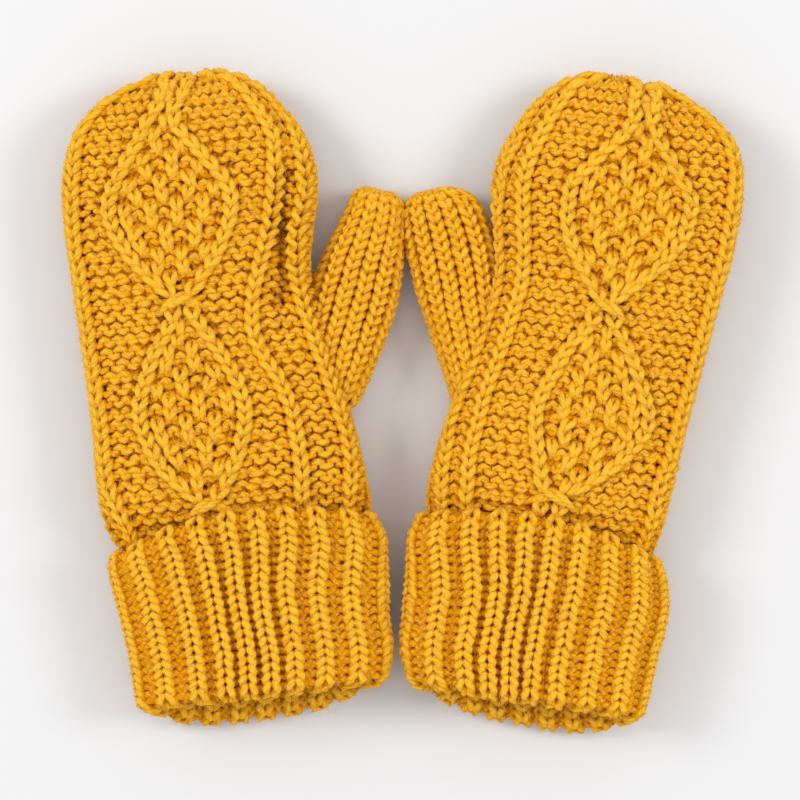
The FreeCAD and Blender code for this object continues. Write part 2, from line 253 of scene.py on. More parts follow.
# mustard in the middle, with a painted shade of deep orange brown at the hollows' end and a painted
# highlight at the crowns' end
MUSTARD_AND_PAINTED_SHADE = [(0.10, "#9A4A00"), (0.36, "#C46E00"), (0.60, "#DE9002"), (0.80, "#F0A508"),
           (1.0, "#FAC036")]
yarn = yarn_material("chunky_mustard_yarn", MUSTARD_AND_PAINTED_SHADE)
print("yarn nodes:", len(yarn.node_tree.nodes))

# %% [markdown]
# ### Table top
# Matt white board with the faintest mottling, so that it isn't one flat colour. A single plane will
# do, because only the shadow on it is seen.

# %% The table
board, tree, shader = blank("matt_white_board")
place = add(tree, "ShaderNodeTexCoord")
mottle = add(tree, "ShaderNodeTexNoise", {"Scale": 6.0}, {"Vector": place.outputs["Object"]})
tree.links.new(ramp(tree, mottle.outputs["Fac"], [(0.0, "#D5D5D6"), (1.0, "#D8D8D9")]),
               shader.inputs["Base Color"])
settle(shader, Roughness=0.9)
bpy.ops.mesh.primitive_plane_add(size=6, location=(0, 0, -0.0002))
table = bpy.context.object
table.name = "table_top"
table.data.materials.append(board)
print("table:", tuple(round(side) for side in table.dimensions), "m")

# %% [markdown]
# ## Cloth, courses and yarn
# A knitted piece has three layers of description. Its cloth is a smooth surface, kept as a grid of
# points with outward normals. A course is one row of loops: each loop leans up, over and down again,
# and passes in front of the cloth and behind it. The yarn is a round tube swept along the
# course. A knit stitch has its two legs in front, which makes a V. A purl stitch is the same loop
# seen from behind, so its head and feet are in front, which makes a bump.
# Curves with a round bevel could be the yarn too. Arrays are faster for thousands of loops, and they
# can keep each point's height for the colour.

# %% Smooth lines and rounded sections


def follow(table, where):
    """A smooth line through given pairs of place and value."""
    places, values = np.array(table, float).T
    slopes = np.gradient(values, places)
    first = np.clip(np.searchsorted(places, where) - 1, 0, len(places) - 2)
    gap = places[first + 1] - places[first]
    t = np.clip((where - places[first]) / gap, 0, 1)
    return ((1 + 2 * t) * (1 - t) ** 2 * values[first] + t * (1 - t) ** 2 * gap * slopes[first]
            + t * t * (3 - 2 * t) * values[first + 1] - t * t * (1 - t) * gap * slopes[first + 1])


def round_section(start, end, square, count):
    """Part of a rounded oblong of half size one, as angles turned to two factors."""
    angle = np.linspace(start, end, count)
    cos, sin = np.cos(angle), np.sin(angle)
    return (np.sign(cos) * np.abs(cos) ** (2 / square), np.sign(sin) * np.abs(sin) ** (2 / square))


def even_columns(points, count):
    """Each row of points laid out again at even distances along itself."""
    rows = []
    for row in points:
        step = np.linalg.norm(np.diff(row, axis=0), axis=1)
        run = np.concatenate([[0], np.cumsum(step)]) / step.sum()
        at = np.linspace(0, 1, count)
        rows.append(np.stack([np.interp(at, run, row[:, k]) for k in range(3)], axis=1))
    return np.array(rows)


print("half way up a smooth step:", follow([(0, 0), (1, 1)], 0.5))

# %% [markdown]
# ### Cloth
# A subdivided plane could be shaped in edit mode, but a grid kept as an array lets any place on the
# cloth be looked up by its share of the rows and of the columns. Its normals are the cross product
# of the grid's two directions.

# %% Cloth


def make_cloth(points, closed):
    """Points with unit normals that point out of the mitten."""
    along = np.gradient(points, axis=0)
    if closed:
        wrapped = np.concatenate([points[:, -2:-1], points, points[:, 1:2]], axis=1)
        across = np.gradient(wrapped, axis=1)[:, 1:-1]
    else:
        across = np.gradient(points, axis=1)
    normal = np.cross(across, along)
    normal /= np.linalg.norm(normal, axis=2, keepdims=True) + 1e-9
    return points, normal


def on_cloth(grid, row, column):
    """Values of a grid at fractions of its rows and columns."""
    high, wide = grid.shape[0] - 1, grid.shape[1] - 1
    r = np.clip(row, 0, 1) * high
    c = np.clip(column, 0, 1) * wide
    r0 = np.minimum(r.astype(int), high - 1)
    c0 = np.minimum(c.astype(int), wide - 1)
    fr, fc = (r - r0)[..., None], (c - c0)[..., None]
    return ((1 - fr) * ((1 - fc) * grid[r0, c0] + fc * grid[r0, c0 + 1])
            + fr * ((1 - fc) * grid[r0 + 1, c0] + fc * grid[r0 + 1, c0 + 1]))


corner = np.array([[[0.0], [1.0]], [[2.0], [3.0]]])
print("middle of a grid of four:", on_cloth(corner, np.array([0.5]), np.array([0.5])).ravel())

# %% [markdown]
# ### Course
# One loop takes a full turn of an angle. The cosine carries the yarn up and down, twice the angle
# brings its foot together, and the same twice the angle moves it in front of the cloth and behind.
# Small random changes to each loop keep the rows from looking like a chain.

# %% One course of loops
STEPS = 10                     # points along the yarn for each loop
TIGHT = {1: 0.25, -1: 0.17}    # how far a knit or purl loop closes at its foot, by its width
PINCH = {1: 0.05, -1: 0.0}     # how near its two legs lie to each other
UNEVEN = {"rise": 0.05, "side": 0.03, "height": 0.12, "row": 0.15}
UNSHADED_LIFT_SHARE = 0.65               # share of a stitch's lift that the painted shade doesn't follow


def course(cloth, at, length, pitch, edges, front, lift, lean, depth, closed, dice,
           steps=STEPS, tall=1.55, tight=TIGHT, pinch=PINCH):
    """Centre line and fabric normal of one row of loops, with the height over the cloth that its
    painted shade reads.

    edges are the stitch borders as shares of the cloth's width, front is 1 for knit and -1 for
    purl, lift raises a stitch, and lean carries its head sideways. The painted shade and highlight
    follow only a third of a stitch's lift, so a raised stitch keeps most of the yarn's middle colour.
    """
    count = len(edges) - 1
    width = np.diff(edges)[:, None]
    turn = (np.arange(steps) / steps)[None, :]
    angle = 2 * np.pi * turn
    foot = np.where(np.cos(angle) > 0, np.cos(angle) ** 2, 0)

    def shared(values):
        values = np.array(values, float)[:, None]
        before, after = np.roll(values, 1, 0), np.roll(values, -1, 0)
        if not closed:
            before[0], after[-1] = values[0], values[-1]
        beside = np.where(turn < 0.5, before, after)
        return values * (1 - foot / 2) + beside * foot / 2

    knit = np.array(front)[:, None] > 0
    swing = np.sign(np.cos(angle)) * np.abs(np.cos(angle)) ** np.where(knit, 1.0, 0.65)
    rise = -(tall * pitch / 2) * swing * (1 + UNEVEN["rise"] * dice.standard_normal((count, 1)))
    close = np.where(knit, tight[1], tight[-1]) * np.sin(2 * angle)
    close = close + np.where(knit, pinch[1], pinch[-1]) * np.sin(angle)
    column = edges[:-1, None] + width * (turn + close)
    column = column + shared(lean) * rise / pitch
    sideways = UNEVEN["side"] * dice.standard_normal((count, 1))
    column = column + width * sideways * np.sin(angle / 2)
    wave = np.sign(np.cos(2 * angle)) * np.abs(np.cos(2 * angle)) ** 0.75
    height = -shared(front) * depth * wave + shared(lift)
    height = height + UNEVEN["height"] * dice.standard_normal((count, 1))
    row = (at + rise + UNEVEN["row"] * dice.standard_normal((count, 1))) / length
    row, column, height = row.ravel(), column.ravel(), height.ravel()
    if closed:
        column = column % 1.0
    points, normals = cloth
    normal = on_cloth(normals, row, column)
    place = on_cloth(points, row, column)
    beyond = (row - np.clip(row, 0, 1)) * length
    slope = on_cloth(np.gradient(points, axis=0), row, column)
    slope /= np.linalg.norm(slope, axis=1, keepdims=True) + 1e-9
    # painted light: the colour reads this height, low points as painted shade and high ones as
    # painted highlight
    painted_shade_height = height - UNSHADED_LIFT_SHARE * shared(lift).ravel()
    return place + normal * height[:, None] + slope * beyond[:, None], normal, painted_shade_height, closed


flat_x, flat_y = np.meshgrid(np.arange(30.0), np.arange(30.0))
swatch = make_cloth(np.stack([flat_x, flat_y, 0 * flat_x], axis=-1), False)
sample = course(swatch, 10, 29, 5, np.linspace(0, 1, 5), [1] * 4, [0.0] * 4, [0.0] * 4, 1.1, False,
                np.random.default_rng(0))
print("points in a course of four loops:", len(sample[0]))

# %% [markdown]
# ### Yarn
# A ring of points is set around every point of the line, and rings are joined by quads. The Screw
# and Bevel tools can't keep a tube's seam on one side of the fabric. Here it is turned by the
# cloth's normal, so the height of each point is known, and an open end gets a flat cap.

# %% Yarn swept along its courses
SIDES = 8             # sides of the tube
YARN = 1.48           # radius of the yarn
FLOOR_GAP = 0.05      # the lowest that any yarn may hang over the table
HOLLOW, CROWN = -2.6, 3.0    # heights at which the painted shade is darkest and the painted highlight palest


def sweep(courses, radius=YARN, sides=SIDES):
    """Closed tubes of yarn: points, faces, UV of each face corner and the height of each point that
    the painted shade reads.
    """
    points, faces, corners, heights = [], [], [], []
    ends = []
    base = 0
    for line, normal, height, closed in courses:
        count = len(line)
        if closed:
            tangent = np.roll(line, -1, 0) - np.roll(line, 1, 0)
        else:
            tangent = np.gradient(line, axis=0)
        tangent /= np.linalg.norm(tangent, axis=1, keepdims=True) + 1e-9
        side = np.cross(tangent, normal)
        side /= np.linalg.norm(side, axis=1, keepdims=True) + 1e-9
        out = np.cross(side, tangent)
        angle = 2 * np.pi * np.arange(sides) / sides
        ring = (np.cos(angle)[None, :, None] * side[:, None, :]
                + np.sin(angle)[None, :, None] * out[:, None, :])
        points.append((line[:, None, :] + radius * ring).reshape(-1, 3))
        # the top of the tube counts higher than its underside, so its painted highlight is on top and
        # its painted shade below
        heights.append((height[:, None] + radius * np.sin(angle)[None, :]).ravel())
        step = np.linalg.norm(np.diff(line, axis=0), axis=1)
        run = np.concatenate([[0], np.cumsum(step)]) / 10.0
        last = count if closed else count - 1
        i = np.arange(last)[:, None]
        k = np.arange(sides)[None, :]
        i2, k2 = (i + 1) % count, (k + 1) % sides
        quad = np.stack([i * sides + k, i2 * sides + k, i2 * sides + k2, i * sides + k2], axis=-1)
        faces.append(quad.reshape(-1, 4) + base)
        far = np.append(run, run[-1] + 0.1)
        u0 = np.broadcast_to(far[:last][:, None], (last, sides))
        u1 = np.broadcast_to(far[1:last + 1][:, None], (last, sides))
        v0 = np.broadcast_to(k / sides, (last, sides))
        v1 = v0 + 1 / sides
        uv = np.stack([np.stack([u0, v0], -1), np.stack([u1, v0], -1),
                       np.stack([u1, v1], -1), np.stack([u0, v1], -1)], axis=2)
        corners.append(uv.reshape(-1, 2))
        if not closed:
            ends.append((base + np.arange(sides)[::-1], run[0]))
            ends.append((base + (count - 1) * sides + np.arange(sides), run[-1]))
        base += count * sides
    return (np.concatenate(points), np.concatenate(faces), np.concatenate(corners),
            np.concatenate(heights), ends)


def raw_mesh(name, hand, points, order, sizes, material):
    """A mesh object from points in a mitten's frame and faces given as runs of point numbers."""
    points[..., 2] = np.maximum(points[..., 2], FLOOR_GAP)
    world = to_world(hand, points)
    mesh = bpy.data.meshes.new(name)
    mesh.vertices.add(len(world))
    mesh.vertices.foreach_set("co", world.ravel().astype(np.float32))
    mesh.loops.add(len(order))
    mesh.loops.foreach_set("vertex_index", order.astype(np.int32))
    mesh.polygons.add(len(sizes))
    starts = np.concatenate([[0], np.cumsum(sizes)[:-1]])
    mesh.polygons.foreach_set("loop_start", starts.astype(np.int32))
    mesh.update(calc_edges=True)
    mesh.materials.append(material)
    return link(bpy.data.objects.new(name, mesh)), np.ptp(world, axis=0)


def build(name, hand, courses, material, radius=YARN, sides=SIDES):
    """Yarn tubes as one object, with their UV map and the heights that their painted shade reads."""
    points, faces, corners, heights, ends = sweep(courses, radius, sides)
    if hand == "right":
        faces = faces[:, ::-1]
        corners = corners.reshape(-1, 4, 2)[:, ::-1].reshape(-1, 2)
    order = [faces.ravel()]
    sizes = [np.full(len(faces), 4)]
    for ring, run in ends:
        order.append(ring[::-1] if hand == "right" else ring)
        sizes.append([sides])
        corners = np.concatenate([corners, np.stack([np.full(sides, run),
                                                     np.arange(sides) / sides], axis=1)])
    order, sizes = np.concatenate(order), np.concatenate(sizes)
    thing, size = raw_mesh(name, hand, points, order, sizes, material)
    mesh = thing.data
    mesh.polygons.foreach_set("use_smooth", np.ones(len(sizes), bool))
    layer = mesh.uv_layers.new(name="yarn")
    layer.data.foreach_set("uv", corners.ravel().astype(np.float32))
    # painted shade and highlight: each point's height as a share between HOLLOW and CROWN
    shade = mesh.attributes.new("height", "FLOAT", "POINT")
    share = np.clip((heights - HOLLOW) / (CROWN - HOLLOW), 0, 1)
    shade.data.foreach_set("value", share.astype(np.float32))
    mesh.validate()
    print(f"{name}: {2 * len(faces)} triangles, {np.round(size / MM).astype(int)} mm")
    return thing


print("corners of the sample tube:", len(sweep([sample])[0]))

# %% [markdown]
# ## The shape of a hand
# The mitten lies palm down and nearly flat, puffed up to about thirty millimetres. Its outline is
# listed on both sides, its section is a rounded oblong, and over the last centimetres the top
# domes down to the drawn-up crown. Soft dents and one deep fold keep it from looking inflated.
# Cloth simulation would puff it up too, but it would blur the set outline and move the stitches, and
# here each row has to know where it lies. Places are x and y in the mitten's frame.

# %% Outlines of both hands
HAND_START = 62.0
DOME_START = 236.0
HANDS = {
    "left": {
        "outer": [(62, -44), (68, -48), (75, -52.2), (98, -56.0), (116, -55.4), (146, -55.6),
                  (176, -56.3), (206, -57.2), (220, -56.2), (230, -53.6), (242, -47.4),
                  (248, -41.0), (254, -29.0), (259, -11)],
        "inner": [(62, 45), (68, 50), (75, 53.8), (88, 53.6), (98, 52.6), (116, 50.2), (146, 45.5),
                  (176, 40.7), (192, 43.6), (206, 47.0), (220, 46.9), (230, 43.8), (242, 35.6),
                  (248, 31.0), (254, 22.5), (259, 10)],
        "top": 257.2,
        "crossings": (84, 166.3),
        "strand": [(70, -10.7, 7.5), (84, -10.7, 3.7), (104, -12.4, 15.5), (124.3, -13, 21.0),
                   (146, -12.8, 13.5), (166.3, -12.5, 3.7), (188, -12.5, 18.0),
                   (208.6, -12.5, 24.5), (228, -12.8, 13.5), (241, -12.5, 5.0),
                   (250, -7.0, 4.2), (262, -3.0, 3.7)],
        "outer_rib": [(62, -39.5), (82, -45), (100, -50), (133, -53), (170, -51.8), (215, -50.2),
                      (240, -44), (262, -30)],
        "inner_rib": [(62, 25.5), (82, 26.2), (100, 27.4), (125.5, 24.7), (155, 14.5),
                      (165, 15.8), (185, 22.0), (207, 28.2), (242, 28.2), (262, 16)],
        "thumb_rib": [(62, 40), (82, 45), (97, 46.6), (125, 42.5), (150, 37), (170, 34),
                      (190, 36), (210, 41), (230, 38.5), (245, 32), (262, 20)],
        "creases": [((34.5, 214), (30, 192), 6.0, 3.0), ((30, 192), (26.5, 164), 7.5, 3.2),
                    ((40, 214), (34, 180), -2.2, 4.0), ((26.5, 164), (27, 150), 2.5, 4.0)],
        "notch": (2.0, 3.4),
    },
    "right": {
        "outer": [(62, -38), (68, -41), (76, -43.4), (100, -46.2), (124, -48.0), (150, -50.9),
                  (178, -53.9), (195, -56.0), (208, -56.8), (222, -56.6), (232, -55.0),
                  (244, -47.8), (250, -39.4), (256, -27), (261, -12)],
        "inner": [(62, 44), (68, 48.5), (76, 51.6), (100, 51.6), (124, 47.0), (150, 41.6),
                  (178, 38.5), (195, 42), (208, 45), (220, 44.6), (232, 40.4), (244, 33.6),
                  (250, 28.4), (256, 20.6), (261, 8)],
        "top": 259.8,
        "crossings": (88.6, 169),
        "strand": [(70, 3.5, 8.5), (88.6, 2.5, 3.7), (104, -4.0, 14.0), (122.5, -8.2, 22.0),
                   (146, -7.8, 14.5), (169, -7.3, 3.7), (190, -9.5, 18.5), (212, -10.9, 25.2),
                   (228, -11.2, 14.5), (241, -11.4, 5.0), (254, -10.6, 4.6), (264, -9, 3.7)],
        "outer_rib": [(62, -34), (82.5, -37.6), (100, -38.5), (121, -43.1), (153, -46.5),
                      (174, -49), (205, -50.8), (223, -51.8), (243, -46), (264, -28)],
        "inner_rib": [(62, 35), (86, 36.2), (103, 37.1), (121, 34.9), (145, 32.9), (169, 32.6),
                      (198, 31.4), (216, 32.5), (241, 30.5), (264, 16)],
        "thumb_rib": [(62, 42.5), (86, 46), (131, 43.5), (163, 38), (192, 38.5), (210, 40),
                      (228, 36.5), (245, 33), (264, 18)],
        "creases": [((40, 225), (37, 180), 2.4, 2.6)],
        "notch": (-10.0, 3.8),
    },
}
# half thickness, and height of the middle over the table, up the hand
THICK = [(62, 8.2), (70, 8.6), (78, 9.4), (86, 11.6), (94, 13.0), (120, 13.5), (204, 13.2),
         (236, 12.2)]
MIDDLE = [(62, 17.2), (72, 16.6), (88, 15.7), (200, 15.6), (262, 15.2)]

for hand, shape in HANDS.items():
    inner, outer = (follow(shape[edge], 208.0) for edge in ("inner", "outer"))
    print(hand, "hand, across the knuckles:", round(inner - outer, 1), "mm")

# %% [markdown]
# ### Cloth of the hand
# The run up the middle is cut into even steps, so that rows keep their height over the dome. Back
# and palm share the outline and meet at the side, and the palm is a little flatter.

# %% Cloth of the back and the palm
DOME_HALF = 11.8     # half thickness where the dome starts
PALM_SHARE = 0.91    # how deep the palm is against the back
YARN_OUT = 2.6       # how far the yarn reaches past the cloth
SECTION = 2.7        # how square the section is: 2 is round
NOTCH_WIDE = 3.2
NOTCH_START = 248.0
NOTCH_LONG = 8.0


def meridian(shape, spacing=0.8):
    """Distance along, and half thickness, of evenly spaced points up the middle of the hand."""
    flat = np.linspace(HAND_START, DOME_START, 300)
    bend = np.linspace(0, np.pi / 2, 120)[1:]
    y = np.concatenate([flat, DOME_START + (shape["top"] - DOME_START) * np.sin(bend)])
    half = np.concatenate([follow(THICK, flat), 0.4 + DOME_HALF * np.cos(bend) ** 0.9])
    run = np.concatenate([[0], np.cumsum(np.hypot(np.diff(y), np.diff(half)))])
    even = np.arange(0, run[-1], spacing)
    return np.interp(even, run, y), np.interp(even, run, half), run[-1]


def hand_cloth(hand, back):
    """The cloth of a back or a palm, from the outer edge to the thumb side."""
    shape = HANDS[hand]
    y, half, length = meridian(shape)
    outer = follow(shape["outer"], y) + YARN_OUT
    inner = follow(shape["inner"], y) - YARN_OUT
    cos, sin = round_section(np.pi, 0, SECTION, 241)
    x = ((outer + inner) / 2)[:, None] + ((inner - outer) / 2)[:, None] * cos[None, :]
    swell = half if back else -PALM_SHARE * half
    z = follow(MIDDLE, y)[:, None] + swell[:, None] * sin[None, :]
    points = np.stack([x, np.broadcast_to(y[:, None], x.shape), z], axis=-1)
    points = even_columns(points, 181)
    notch, drop = shape["notch"]
    drawn = np.exp(-((points[..., 0] - notch) / NOTCH_WIDE) ** 2)
    points[..., 1] -= drop * drawn * np.clip((points[..., 1] - NOTCH_START) / NOTCH_LONG, 0, 1)
    if not back:
        points, normal = make_cloth(points, False)
        return (points, -normal), y, length
    x, up = points[..., 0], points[..., 1]
    soft = np.sin(x / 17 + up / 31) * np.sin(up / 23 - x / 41)
    weight = np.clip((points[..., 2] - 18) / 8, 0, 1)
    points[..., 2] += 0.8 * soft * weight
    for (x0, y0), (x1, y1), deep, wide in shape["creases"]:
        t = (x - x0) * (x1 - x0) + (up - y0) * (y1 - y0)
        t = np.clip(t / ((x1 - x0) ** 2 + (y1 - y0) ** 2), 0, 1)
        gap = np.hypot(x - x0 - t * (x1 - x0), up - y0 - t * (y1 - y0))
        points[..., 2] -= deep * np.exp(-(gap / wide) ** 2) * np.clip(weight + 0.3, 0, 1)
    return make_cloth(points, False), y, length


for hand in HANDS:
    print(hand, "hand, from rib to crown:", round(hand_cloth(hand, True)[2]), "mm")

# %% [markdown]
# ## The back of the hand
# Twenty stitches across. Three single ribs of knit stitches run its length, one near the outer
# edge, one beside the diamonds and one towards the thumb. Two more travel: they part and meet again,
# and where they meet one crosses over the other. The ground is purl, and inside a diamond knit and
# purl change places every two rows, which makes the pebbled filling. A displaced surface can't show
# one strand passing behind another. A chart of stitches, read row by row as a knitter reads it, can.

# %% Chart of the back
PITCH = 4.85         # row height on the hand
RIB = 7.4            # width of a raised rib stitch
GROUND = 6.05        # width of a stitch between the ribs
FULL_WIDTH = 118.0   # width of the back at which stitches have their full width
RIB_LIFT = {"a": 1.3, "l": 2.0, "r": 2.0, "b": 1.3, "c": 1.0}
MOSS_LIFT = {True: 1.1, False: 0.5}    # of a knit and of a purl stitch in a diamond
LEAST_SHARE = 0.004  # a stitch narrower than this is left out


def across(cloth, row, x):
    """The share of the cloth's width at which it passes over x."""
    points = cloth[0]
    xs = points[int(round(np.clip(row, 0, 1) * (len(points) - 1)))][:, 0]
    return np.interp(x, xs, np.linspace(0, 1, len(xs)))


def back_chart(hand, cloth, y_of, length):
    """For each row: its stitches, as key, borders, knit or purl and lift, and if strands cross.

    The ribs are a at the outer edge, l and r around the diamonds, b beside them and c at the thumb.
    """
    shape = HANDS[hand]
    rows = []
    marks = np.arange(4.0, length - 1.0, PITCH)
    for number, at in enumerate(marks):
        share = at / length
        y = np.interp(share, np.linspace(0, 1, len(y_of)), y_of)
        line = cloth[0][int(round(share * (len(cloth[0]) - 1)))]
        wide = np.linalg.norm(np.diff(line, axis=0), axis=1).sum()
        low, high = line[:, 0].min(), line[:, 0].max()
        middle = follow([(place, x) for place, x, gap in shape["strand"]], y)
        apart = max(follow([(place, gap) for place, x, gap in shape["strand"]], y), RIB / 2)
        apart = min(apart, (high - low) / 4)
        ribs = {
            "a": np.clip(follow(shape["outer_rib"], y), low + 3.2, high),
            "l": middle - apart,
            "r": middle + apart,
            "b": np.clip(follow(shape["inner_rib"], y), low, high - 4.5),
            "c": np.clip(follow(shape["thumb_rib"], y), low, high - 0.9),
        }
        at_rib = {key: across(cloth, share, x) for key, x in ribs.items()}
        narrow = min(1.0, max(0.5, wide / FULL_WIDTH))
        half = RIB / 2 * narrow / wide
        at_rib["a"] = max(at_rib["a"], 2.4 * half)
        at_rib["b"] = min(at_rib["b"], 1 - 4.8 * half)
        at_rib["c"] = min(max(at_rib["c"], at_rib["b"] + 2.6 * half), 1 - 1.6 * half)
        at_rib["l"] = max(at_rib["l"], at_rib["a"] + 2.0 * half)
        at_rib["r"] = min(max(at_rib["r"], at_rib["l"] + 2.0 * half), at_rib["b"] - 2.0 * half)
        stitches = []

        def ground(name, start, end, fewest, from_end):
            count = max(fewest, int(round((end - start) * wide / (GROUND * narrow))))
            if name == "moss":
                count = 2 * int(round((end - start) * wide / (2 * GROUND * narrow)))
            borders = np.linspace(start, end, count + 1)
            for i in range(count):
                key, face, lift = (name, count - 1 - i if from_end else i), -1, 0.0
                if name == "moss":
                    key = (name, i - count // 2)
                    knit = (key[1] + number // 2) % 2 == 0
                    face, lift = 1 if knit else -1, MOSS_LIFT[knit]
                stitches.append((key, borders[i], borders[i + 1], face, lift))

        def rib(name):
            place = at_rib[name]
            stitches.append(((name, 0), place - half, place + half, 1, RIB_LIFT[name]))

        ground("edge", 0.0, at_rib["a"] - half, 1, True)
        rib("a")
        ground("outer", at_rib["a"] + half, at_rib["l"] - half, 0, False)
        rib("l")
        ground("moss", at_rib["l"] + half, at_rib["r"] - half, 0, False)
        rib("r")
        ground("inner", at_rib["r"] + half, at_rib["b"] - half, 0, True)
        rib("b")
        ground("thumb", at_rib["b"] + half, at_rib["c"] - half, 1, False)
        rib("c")
        ground("side", at_rib["c"] + half, 1.0, 0, False)
        # the lowest rows are pressed flat by the cuff that lies over them; the share of that sink
        # which the colour reads is painted shade under the cuff's edge
        sink_and_shade = 2.4 * np.clip((86 - y) / 8, 0, 1)
        stitches = [(*s[:4], s[4] - sink_and_shade) for s in stitches if s[2] - s[1] > LEAST_SHARE]
        crossing = min(abs(y - place) for place in shape["crossings"]) <= PITCH / 2
        rows.append((at, stitches, crossing))
    return rows

# %% [markdown]
# ### Courses of the back
# A loop leans to where its own stitch stands in the row above, so the ribs flow as the chart moves
# them. At a crossing the two strands change places, one lifted over the other.

# %% Courses of the back
OVER, UNDER = 1.3, -1.2      # extra lift of the two strands at a crossing


def back_courses(hand, dice):
    cloth, y_of, length = hand_cloth(hand, True)
    rows = back_chart(hand, cloth, y_of, length)
    courses = []
    for number, (at, stitches, crossing) in enumerate(rows):
        following = rows[min(number + 1, len(rows) - 1)][1]
        centre = {s[0]: (s[1] + s[2]) / 2 for s in following}
        edges = np.array([s[1] for s in stitches] + [stitches[-1][2]])
        edges[1:-1] = [(stitches[i][2] + stitches[i + 1][1]) / 2 for i in range(len(stitches) - 1)]
        lean, lift, front = [], [], []
        for key, start, end, face, raise_by in stitches:
            here = (start + end) / 2
            target = centre.get(key, here)
            extra = 0.0
            if crossing and key[0] == "l":
                target, extra = centre.get(("r", 0), here), OVER
            if crossing and key[0] == "r":
                target, extra = centre.get(("l", 0), here), UNDER
            most = 0.45 * (end - start) if key[0] not in "lr" else 9.0
            lean.append(np.clip(target - here, -most, most))
            lift.append(raise_by + extra)
            front.append(face)
        courses.append(course(cloth, at, length, PITCH, edges, front, lift, lean, 1.25, False,
                              dice))
    return courses


for hand in HANDS:
    chart = back_chart(hand, *hand_cloth(hand, True))
    print(hand, "back:", len(chart), "rows,", max(len(row[1]) for row in chart), "stitches at most")

# %% [markdown]
# ## The palm
# Plain knitting, nineteen stitches across, every stitch a V. The back's chart could be used with
# every stitch set to knit, but nothing travels here, so even borders are enough. The same function
# will knit the thumb, as a closed round.

# %% Palm
PLAIN_DEPTH = 1.1    # how far a plain loop passes in front of its cloth


def plain_courses(cloth, length, marks, pitch, count, closed, dice):
    edges = np.linspace(0, 1, count + 1)
    return [course(cloth, at, length, pitch, edges, [1] * count, [0.0] * count, [0.0] * count,
                   PLAIN_DEPTH, closed, dice) for at in marks]


def palm_courses(hand, dice):
    cloth, _, length = hand_cloth(hand, False)
    return plain_courses(cloth, length, np.arange(4.0, length - 1.0, PITCH), PITCH, 19, False,
                         dice)


print("rows on the left palm:", len(palm_courses("left", np.random.default_rng(0))))

# %% [markdown]
# ## The thumb
# A tube of plain knitting, twelve stitches round. It leaves the side of the hand low down, leans
# twenty degrees out and ends blunt, where the last row is drawn up. A swept circle would be too
# regular: the real tube is pressed flat and bulges to one side, so its two edges are set apart.

# %% Thumb
THUMB_FOLD = np.array([54.5, 166.6])
THUMB_LEAN = math.radians(20)
THUMB_HEIGHT = 11.5  # of its middle over the table
THUMB_PITCH = 4.05
TIP_START = 31.0
# tables over the distance from the fold: half width, extra width away from the hand and towards it,
# and half depth
THUMB_HALF = [(-48, 11.0), (-30, 12.2), (-12, 13.2), (0, 13.7), (14, 13.3), (26, 12.6), (31, 12.0)]
THUMB_WIDEN = {"left": [(-48, 1), (-30, 3.6), (0, 5.0), (20, 3.4), (31, 2.2)],
               "right": [(-48, -4.6), (-30, -4.0), (0, -1.6), (20, 0.0), (31, 0.4)]}
THUMB_HAND_SIDE = {"left": [(-48, 0), (-10, 0), (12, -2.2), (26, -5.0), (31, -6.0)],
                   "right": [(-48, 0), (-10, 3.0), (10, 6.0), (22, 6.0), (31, 4.5)]}
THUMB_DEEP = [(-48, 5.5), (-30, 8.2), (-12, 9.0), (0, 9.2), (26, 8.8), (31, 8.6)]


def thumb_cloth(hand):
    flat = np.linspace(-46, TIP_START, 160)
    bend = np.linspace(0, np.pi / 2, 60)[1:]
    s = np.concatenate([flat, TIP_START + 8.2 * np.sin(bend)])
    tuck = np.cos(bend) ** 0.8
    half = np.concatenate([follow(THUMB_HALF, flat), 2.0 + 10.0 * tuck])
    deep = np.concatenate([follow(THUMB_DEEP, flat), 1.4 + 7.2 * tuck])
    run = np.concatenate([[0], np.cumsum(np.hypot(np.diff(s), np.diff(half)))])
    even = np.linspace(0, run[-1], 150)
    s, half, deep = (np.interp(even, run, v) for v in (s, half, deep))
    fade = np.clip((40 - s) / 8, 0, 1)
    far = follow(THUMB_WIDEN[hand], np.minimum(s, TIP_START)) / 2 * fade
    near = follow(THUMB_HAND_SIDE[hand], np.minimum(s, TIP_START)) / 2
    near = near * (fade if hand == "right" else 1)
    shift = far - near
    half = np.maximum(half + far + near * np.where(near < 0, fade, 1), 1.5)
    cos, sin = round_section(np.pi, -np.pi, 2.3, 241)
    across_way = np.array([math.cos(THUMB_LEAN), -math.sin(THUMB_LEAN)])
    along_way = np.array([math.sin(THUMB_LEAN), math.cos(THUMB_LEAN)])
    flat_place = (THUMB_FOLD + s[:, None, None] * along_way
                  + (shift[:, None] + half[:, None] * cos[None, :])[..., None] * across_way)
    z = THUMB_HEIGHT + deep[:, None] * sin[None, :]
    points = even_columns(np.concatenate([flat_place, z[..., None]], axis=-1), 145)
    return make_cloth(points, True), run[-1]


def thumb_courses(hand, dice):
    cloth, length = thumb_cloth(hand)
    marks = np.arange(2.5, length - 1.0, THUMB_PITCH)
    return plain_courses(cloth, length, marks, THUMB_PITCH, 12, True, dice)


print("rows on the left thumb:", len(thumb_courses("left", np.random.default_rng(0))))

# %% [markdown]
# ## The turned-up cuff
# Single rib, nineteen ribs round, folded outwards once. Seen from outside its rows run the other way
# up, so the V points at the fingers. The cloth starts at the cast-off edge, rolls over it, runs
# down the outside, turns under at the fold and goes a little way up the inside. The fold of the
# upper layer sits back by a centimetre, which shows the mouth as a shallow crescent. A tube could
# be turned over with the Solidify and Bevel tools, but then the rows would have no rim to follow.

